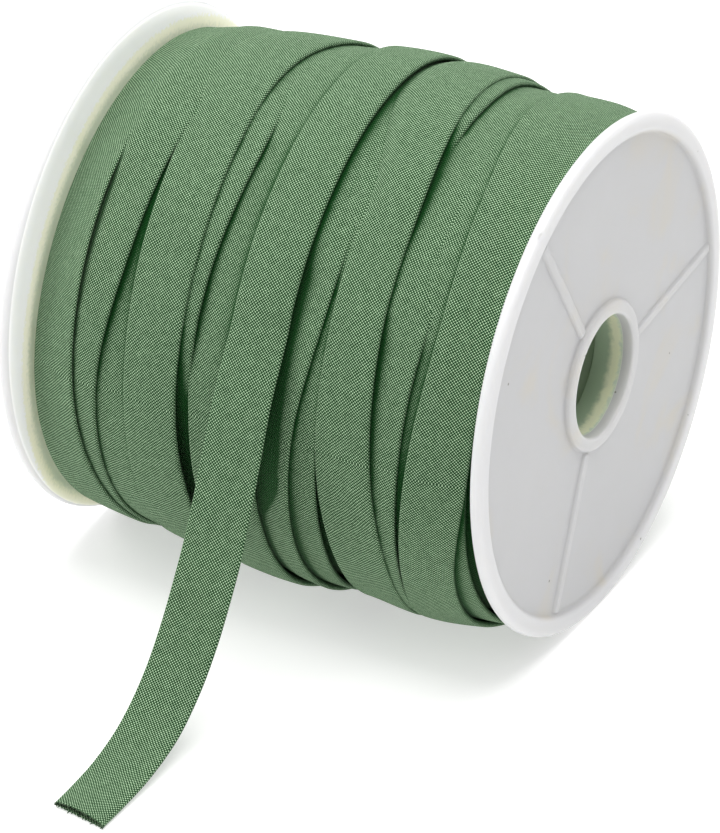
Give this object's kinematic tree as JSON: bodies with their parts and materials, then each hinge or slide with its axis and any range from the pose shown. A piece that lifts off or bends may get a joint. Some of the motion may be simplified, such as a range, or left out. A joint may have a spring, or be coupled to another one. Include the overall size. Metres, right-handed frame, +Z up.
{
  "type": "roll of bias binding on a plastic spool",
  "caption": "Flanged plastic spool lying on its rims, wound full with folded woven cotton tape whose loose end runs off the front and down onto the surface.",
  "frame": {"origin": "on the surface it stands on, under the middle of the whole object", "axes": "+Z up; X along the spool's axis, the near flange at +X; the loose end runs towards -Y"},
  "size_m": [0.106, 0.1676, 0.1052],
  "materials": {
    "spool_plastic": "milky white moulded plastic, a little translucent, semi-gloss",
    "binding_cloth": "plain-woven cotton cut on the bias, pressed and folded, matt sage green"
  },
  "bodies": {
    "root": {"flange_near": "spool_plastic", "flange_far": "spool_plastic", "spool_hub": "spool_plastic", "binding_roll": "binding_cloth", "loose_end": "binding_cloth"}
  },
  "joints": []
}
